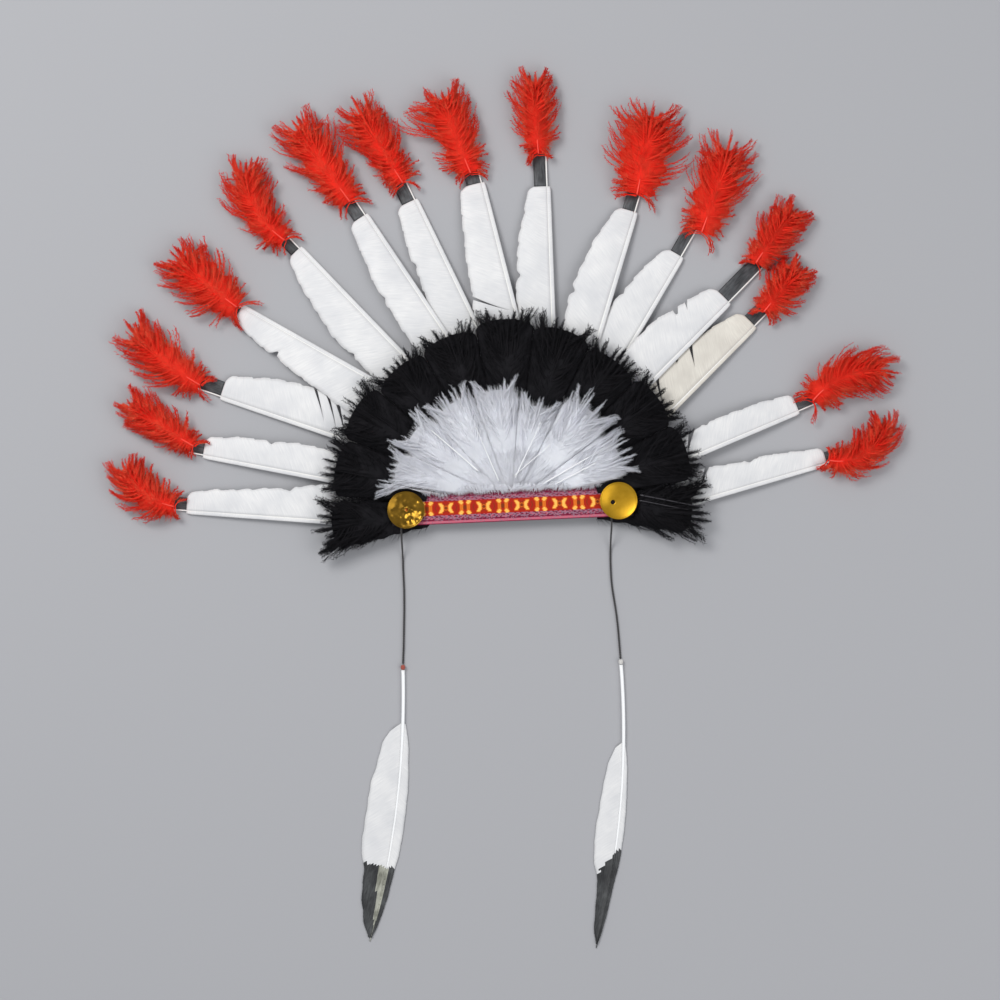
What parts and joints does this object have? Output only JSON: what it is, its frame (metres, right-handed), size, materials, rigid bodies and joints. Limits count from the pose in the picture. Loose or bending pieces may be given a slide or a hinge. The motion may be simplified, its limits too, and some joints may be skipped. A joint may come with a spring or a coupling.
{
  "type": "feathered fan headdress",
  "caption": "Flat half-round fan of white feathers tipped with red plumes, over black and white down, with a woven ribbon, gilt discs and feathers hung on cords.",
  "frame": {"origin": "middle of the head elastic's rear face, behind the middle of the ribbon band", "axes": "+X along the ribbon towards the wearer's left as seen from the front, +Y up the fan, +Z out of the front face"},
  "size_m": [0.5521, 0.6154, 0.0202],
  "materials": {
    "white_feather": "matt barbs with a satin quill, the tips dyed black",
    "red_marabou": "soft fluffy down, dyed red",
    "black_marabou": "soft fluffy down, dyed black",
    "white_marabou": "soft fluffy down, white",
    "woven_ribbon": "figured ribbon in satin threads",
    "gold_disc": "polished and gilt, dished",
    "black_felt": "pressed felt",
    "black_elastic": "flat knitted elastic",
    "black_cord": "thin twisted cord",
    "binding_thread": "wound thread"
  },
  "bodies": {
    "root": {"head_elastic": "black_elastic", "backing": "black_felt", "ribbon_band": "woven_ribbon", "disc_left": "gold_disc", "disc_right": "gold_disc", "feather_01": "white_feather", "feather_02": "white_feather", "feather_03": "white_feather", "feather_04": "white_feather", "feather_05": "white_feather", "feather_06": "white_feather", "feather_07": "white_feather", "feather_08": "white_feather", "feather_09": "white_feather", "feather_10": "white_feather", "feather_11": "white_feather", "feather_12": "white_feather", "feather_13": "white_feather", "feather_14": "white_feather", "feather_15": "white_feather", "red_plume_01": "red_marabou", "red_plume_02": "red_marabou", "red_plume_03": "red_marabou", "red_plume_04": "red_marabou", "red_plume_05": "red_marabou", "red_plume_06": "red_marabou", "red_plume_07": "red_marabou", "red_plume_08": "red_marabou", "red_plume_09": "red_marabou", "red_plume_10": "red_marabou", "red_plume_11": "red_marabou", "red_plume_12": "red_marabou", "red_plume_13": "red_marabou", "red_plume_14": "red_marabou", "red_plume_15": "red_marabou", "black_plume_01": "black_marabou", "black_plume_02": "black_marabou", "black_plume_03": "black_marabou", "black_plume_04": "black_marabou", "black_plume_05": "black_marabou", "black_plume_06": "black_marabou", "black_plume_07": "black_marabou", "black_plume_08": "black_marabou", "black_plume_09": "black_marabou", "black_plume_10": "black_marabou", "black_plume_11": "black_marabou", "white_plume_01": "white_marabou", "white_plume_02": "white_marabou", "white_plume_03": "white_marabou", "white_plume_04": "white_marabou", "white_plume_05": "white_marabou", "white_plume_06": "white_marabou", "white_plume_07": "white_marabou", "cord_left": "black_cord", "knot_left": "binding_thread", "drop_feather_left": "white_feather", "cord_right": "black_cord", "knot_right": "binding_thread", "drop_feather_right": "white_feather"}
  },
  "joints": []
}
